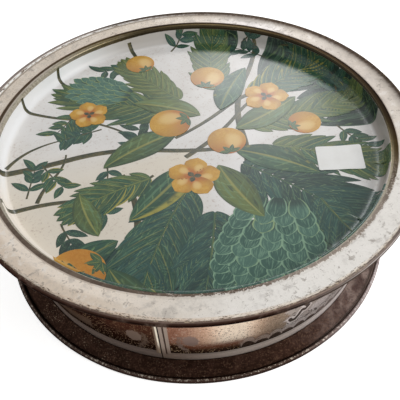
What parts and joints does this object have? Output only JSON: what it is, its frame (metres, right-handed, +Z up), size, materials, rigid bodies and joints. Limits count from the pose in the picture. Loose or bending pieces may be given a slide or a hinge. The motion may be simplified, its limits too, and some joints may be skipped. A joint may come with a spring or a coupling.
{
  "type": "round tin",
  "caption": "Round tinplate keepsake tin with a lift-off dished lid, a tapered wall and a wide flanged base, all with rolled edges.",
  "frame": {"origin": "middle of the underside, on the plane that the tin stands on", "axes": "+Z up along the tin's axis; -Y towards the front, near the side seam"},
  "size_m": [0.254, 0.254, 0.0746],
  "materials": {
    "lid_sheet": "printed and varnished tinplate, worn to bare metal along the rolled edge",
    "wall_sheet": "copper-toned tinplate with a dark engraved print, semi-gloss",
    "base_sheet": "dark brown lacquered tinplate, mottled, worn along the rolled edge"
  },
  "bodies": {
    "tin": {"body_wall": "wall_sheet", "base_pan": "base_sheet"},
    "lid": {"lid": "lid_sheet"}
  },
  "joints": [
    {"name": "lid_lift", "type": "slide", "parent": "tin", "child": "lid", "axis": [0, 0, 1], "range_m": [0, 0.08]}
  ]
}
